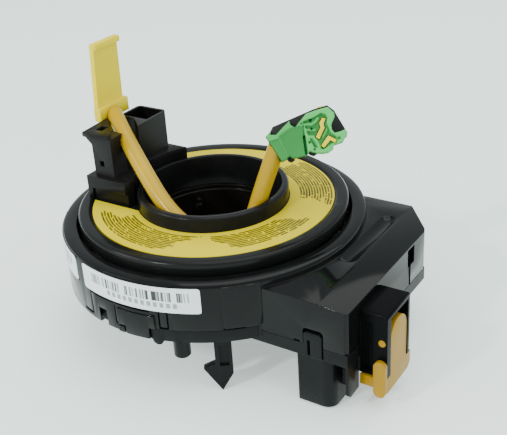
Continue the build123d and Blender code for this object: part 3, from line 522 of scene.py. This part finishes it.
# Grid of (u, v) whose points near the outline are moved onto it, lifted by the height; the same grid flat
# underneath; and a wall of quads along every cell edge that only one kept cell has.
def makePlate(name, spec, frameSpec):
    cell = frameSpec["cell"]
    corners = np.array(spec["outline"])
    low, high = corners.min(axis=0) - 4 * cell, corners.max(axis=0) + 4 * cell
    u, v = np.meshgrid(np.arange(low[0], high[0], cell), np.arange(low[1], high[1], cell), indexing="ij")
    edge = insideDistance(u, v, spec["outline"])
    slopeU, slopeV = np.gradient(edge, cell)
    size = np.maximum(np.hypot(slopeU, slopeV), 1e-6)
    pull = np.where(np.abs(edge) < 0.55 * cell, edge, 0.0)
    u, v = u - pull * slopeU / size, v - pull * slopeV / size
    edge = np.where(pull != 0.0, 0.0, edge)
    height = plateHeight(u, v, edge, spec)
    inside = edge >= 0.0
    keep = inside[:-1, :-1] & inside[1:, :-1] & inside[:-1, 1:] & inside[1:, 1:]
    index = np.arange(u.size).reshape(u.shape)
    top = np.stack([index[:-1, :-1], index[1:, :-1], index[1:, 1:], index[:-1, 1:]], axis=-1)[keep]
    under = top + u.size
    sides = np.concatenate([np.stack([top[:, k], top[:, (k + 1) % 4]], axis=-1) for k in range(4)])
    code, back = sides[:, 0] * u.size + sides[:, 1], sides[:, 1] * u.size + sides[:, 0]
    rim = sides[~np.isin(code, back)]
    walls = np.stack([rim[:, 1], rim[:, 0], rim[:, 0] + u.size, rim[:, 1] + u.size], axis=-1)
    faces = np.concatenate([top, under[:, ::-1], walls])
    along, normal = np.array(frameSpec["along"]), np.array(frameSpec["normal"])
    along /= np.linalg.norm(along)
    normal -= along * (along @ normal)
    normal /= np.linalg.norm(normal)
    across = np.cross(normal, along)
    flat = np.stack([u.ravel(), v.ravel()], axis=-1) @ np.stack([along, across]) + spec["top"] * normal
    upper = flat + np.outer(height.ravel(), normal)
    lower = flat - spec["depth"] * normal
    points = (np.concatenate([upper, lower]) + np.array(frameSpec["centre"])) * mm
    used = np.unique(faces)
    renumber = np.zeros(len(points), int)
    renumber[used] = np.arange(len(used))
    mesh = bpy.data.meshes.new(name)
    mesh.from_pydata(points[used].tolist(), [], renumber[faces].tolist())
    mesh.polygons.foreach_set("use_smooth", np.ones(len(faces), bool))
    mesh.set_sharp_from_angle(angle=sharpAngle)
    # relief, the painted shade and light: 0 in the deepest hollow, 1 on the ridges, a little more on the head
    lineU, lineV, slant, fade = frameSpec["headLine"]
    deepest = frameSpec["paintedShadeDepth"]
    head = smooth((u - lineU - (v - lineV) * slant) / fade + 0.5)
    relief = np.clip((height + deepest) / deepest, 0.0, 1.0) * (0.78 + 0.22 * head) + 0.12 * head
    mesh.attributes.new("relief", "FLOAT", "POINT").data.foreach_set(
        "value", np.concatenate([relief.ravel(), relief.ravel()])[used].astype(np.float32))
    mesh.materials.append(finishes[spec["finish"]])
    piece = addObject(name, mesh)
    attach(piece, "rotor")
    return piece


nodes["plugFace"] = makePlate("plugFace", plugFace, plugFace)
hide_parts("squib_cover")
for name, spec in plugPlates.items():
    nodes[name] = makePlate(name, spec, plugFace)
print("plug face made", len(nodes["plugFace"].data.polygons))

sleeves = {
    "leadSleeveA": {
        "node": "lead_a_sleeve",
        "points": [(10.0, -17.1, 22.4), (4.2, -19.4, 26.2), (-4.6, -19.3, 31.8), (-15.3, -15.0, 39.5),
                   (-31.2, -6.6, 50.2), (-40.1, 0.4, 52.6)],
        "length": 63.0, "farEnd": "object", "with": [],
    },
    "leadSleeveB": {
        "node": "lead_b_sleeve",
        "points": [(16.3, -10.6, 14.8), (18.6, -6.4, 24.4), (20.3, -0.4, 37.0), (24.7, 2.3, 50.5)],
        "length": 38.5, "farEnd": "plug",
        "with": ["squib_shell", "plugFace", "squib_insert", "squib_contacts", *plugPlates],
    },
}
sleeveDiameter = 5.6


def makeSleeve(name, spec):
    data = bpy.data.curves.new(name, "CURVE")
    data.dimensions = "3D"
    data.bevel_depth = sleeveDiameter / 2 * mm
    data.bevel_resolution = 8
    data.resolution_u = 16
    data.use_fill_caps = True
    spline = data.splines.new("NURBS")
    spline.points.add(len(spec["points"]) - 1)
    for point, place in zip(spline.points, spec["points"]):
        point.co = (*[v * mm for v in place], 1.0)
    spline.order_u = 3
    spline.use_endpoint_u = True
    sleeve = addObject(name, data)
    data.materials.append(finishes["sleeve"])
    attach(sleeve, "rotor")
    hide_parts(spec["node"])


for name, spec in sleeves.items():
    makeSleeve(name, spec)
print("sleeves made")


shading = {"edge": 33, "crease": 4.5, "large": 2e-5}     # degrees, degrees, square metres


# Shading by geometry nodes: smooth everywhere but on edges over one angle, or over a smaller one between
# large faces.
def shadeGroup(spec):
    group = bpy.data.node_groups.new("roundShade", "GeometryNodeTree")
    group.interface.new_socket("Geometry", in_out="INPUT", socket_type="NodeSocketGeometry")
    group.interface.new_socket("Geometry", in_out="OUTPUT", socket_type="NodeSocketGeometry")
    inlet, outlet = group.nodes.new("NodeGroupInput"), group.nodes.new("NodeGroupOutput")
    faces = group.nodes.new("GeometryNodeSetShadeSmooth")
    edges = group.nodes.new("GeometryNodeSetShadeSmooth")
    edges.domain = "EDGE"
    edges.inputs["Shade Smooth"].default_value = False
    angle = group.nodes.new("GeometryNodeInputMeshEdgeAngle").outputs[0]
    area = group.nodes.new("GeometryNodeInputMeshFaceArea").outputs[0]

    def over(value, limit):
        node = group.nodes.new("FunctionNodeCompare")
        node.operation = "GREATER_THAN"
        node.inputs[1].default_value = limit
        group.links.new(value, node.inputs[0])
        return node.outputs[0]

    def both(kind, a, b):
        node = group.nodes.new("FunctionNodeBooleanMath")
        node.operation = kind
        group.links.new(a, node.inputs[0])
        group.links.new(b, node.inputs[1])
        return node.outputs[0]

    crease = both("AND", over(angle, math.radians(spec["crease"])), over(area, spec["large"]))
    sharp = both("OR", over(angle, math.radians(spec["edge"])), crease)
    group.links.new(inlet.outputs[0], faces.inputs["Geometry"])
    group.links.new(faces.outputs[0], edges.inputs["Geometry"])
    group.links.new(sharp, edges.inputs["Selection"])
    group.links.new(edges.outputs[0], outlet.inputs[0])
    return group


roundShade = shadeGroup(shading)

# node: (finish, width of the rounded edges in millimetres)
dressing = {
    "upper_case": ("caseBlack", 0.3), "lower_cover": ("coverBlack", 0.25),
    "connector_leg": ("coverBlack", 0.25),
    "rotor_disc": ("rotorBlack", 0.2), "hub_sleeve": ("hubBlack", 0.2),
    "connector_tower": ("towerBlack", 0.22), "tower_pins": ("tinned", 0.0),
    "ring_label": ("ringLabel", 0.0), "barcode_label": ("barLabel", 0.0), "side_label": ("sideLabel", 0.0),
    "side_connector_shell": ("connectorBlack", 0.25), "side_connector_lock": ("lockOrange", 0.3),
    "side_connector_pins": ("tinned", 0.0), "leg_insert": ("coverBlack", 0.2), "leg_pins": ("tinned", 0.0),
    "ribbon_cable": ("slipFilm", 0.0), "slip_sheet": ("slipFilm", 0.0),
    "ribbon_inner_holder": ("rotorBlack", 0.2), "ribbon_outer_holder": ("coverBlack", 0.2),
    "lead_holder": ("rotorBlack", 0.2), "flag_end": ("flagCream", 0.3),
    "squib_insert": ("insertYellow", 0.1), "squib_shell": ("shellBlack", 0.25),
    "squib_contacts": ("tinned", 0.0),
}
softEdge = {"weld": 0.000002, "segments": 2, "angle": 38}       # metres, count, degrees


def dressNode(name, finishName, edge):
    piece = nodes[name]
    for slot in piece.material_slots:
        slot.material = finishes[finishName]
    weld = piece.modifiers.new("weld", "WELD")
    weld.merge_threshold = softEdge["weld"]
    if edge:
        bevel = piece.modifiers.new("softEdge", "BEVEL")
        bevel.width = edge * mm
        bevel.segments = softEdge["segments"]
        bevel.limit_method = "ANGLE"
        bevel.angle_limit = math.radians(softEdge["angle"])
        bevel.use_clamp_overlap = True
    shade = piece.modifiers.new("roundShade", "NODES")
    shade.node_group = roundShade


for name, (finishName, edge) in dressing.items():
    dressNode(name, finishName, edge)
print("nodes dressed", len(dressing))

# Small domed bead on the side connector's front wall, above the lock's finger.
bead = {"place": (74.3, -26.2, 9.5), "radius": 1.15, "rise": 0.45, "sink": 0.3, "steps": 24, "rings": 6}


# Dome over a disc facing -Y: r = radius * sin(t), rise * cos(t), for t from the pole to the rim, then a short
# wall into the connector and a flat foot.
def makeBead(spec):
    turn = np.linspace(0, 2 * np.pi, spec["steps"], endpoint=False)
    fall = np.linspace(0, np.pi / 2, spec["rings"] + 1)[1:]
    t, a = np.meshgrid(fall, turn, indexing="ij")
    x0, y0, z0 = spec["place"]
    dome = np.stack([x0 + spec["radius"] * np.sin(t) * np.cos(a), y0 - spec["rise"] * np.cos(t),
                     z0 + spec["radius"] * np.sin(t) * np.sin(a)], axis=-1).reshape(-1, 3)
    rim = dome[-spec["steps"]:] + (0, spec["sink"], 0)
    points = np.concatenate([[(x0, y0 - spec["rise"], z0)], dome, rim, [(x0, y0 + spec["sink"], z0)]]) * mm
    count, rows = spec["steps"], spec["rings"] + 1
    k = np.arange(count)
    after = (k + 1) % count
    cap = np.stack([np.zeros(count, int), 1 + k, 1 + after], axis=-1)
    row = np.arange(rows - 1)[:, None] * count + 1
    sides = np.stack([row + k, row + count + k, row + count + after, row + after], axis=-1).reshape(-1, 4)
    last = 1 + (rows - 1) * count
    foot = np.stack([np.full(count, len(points) - 1), last + after, last + k], axis=-1)
    mesh = bpy.data.meshes.new("lockBead")
    mesh.from_pydata(points.tolist(), [], cap.tolist() + sides.tolist() + foot.tolist())
    mesh.polygons.foreach_set("use_smooth", np.ones(len(mesh.polygons), bool))
    mesh.set_sharp_from_angle(angle=sharpAngle)
    mesh.materials.append(finishes["lockOrange"])
    piece = addObject("lockBead", mesh)
    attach(piece, "stator")


makeBead(bead)
print("bead made")

stage = {"size": 3.0, "level": -14.4, "colour": (0.8, 0.9, 0.87), "glow": 0.56}


def makeFloor(spec):
    half, level = spec["size"] / 2, spec["level"] * mm
    mesh = bpy.data.meshes.new("floor")
    corners = [(-half, -half, level), (half, -half, level), (half, half, level), (-half, half, level)]
    mesh.from_pydata(corners, [], [(0, 1, 2, 3)])
    floor = addObject("floor", mesh)
    finish = Finish("paleFloor")
    dimmer = tuple(0.985 * c for c in spec["colour"])
    finish.set("Base Color", finish.mix(finish.noise(3.0), dimmer, spec["colour"]))
    finish.set("Roughness", 0.75)
    finish.set("Emission Color", (*spec["colour"], 1.0))
    finish.set("Emission Strength", spec["glow"])
    mesh.materials.append(finish.material)


makeFloor(stage)

room = {"colour": (0.8, 0.87, 0.87, 1.0), "strength": 1.0}
lights = {
    "overhead": {"place": (0.25, 0.15, 1.1), "aim": (0, 0, 0.02), "size": (1.4, 1.2), "power": 12.5},
    "left": {"place": (-0.75, -0.75, 0.65), "aim": (0, 0, 0.02), "size": (0.5, 0.4), "power": 4.0},
    "window": {"place": (-0.28, -1.0, 0.75), "aim": (0, 0, 0.02), "size": (0.09, 0.14), "power": 7.0},
}


def makeLight(name, spec):
    data = bpy.data.lights.new(name, "AREA")
    data.shape = "RECTANGLE"
    data.size, data.size_y = spec["size"]
    data.energy = spec["power"]
    lamp = bpy.data.objects.new(name, data)
    lamp.location = spec["place"]
    lamp.rotation_euler = (Vector(spec["aim"]) - Vector(spec["place"])).to_track_quat("-Z", "Y").to_euler()
    bpy.context.scene.collection.objects.link(lamp)


for name, spec in lights.items():
    makeLight(name, spec)
world = bpy.data.worlds.new("paleRoom")
world.use_nodes = True
world.node_tree.nodes["Background"].inputs[0].default_value = room["colour"]
world.node_tree.nodes["Background"].inputs[1].default_value = room["strength"]
bpy.context.scene.world = world
print("stage and light set")
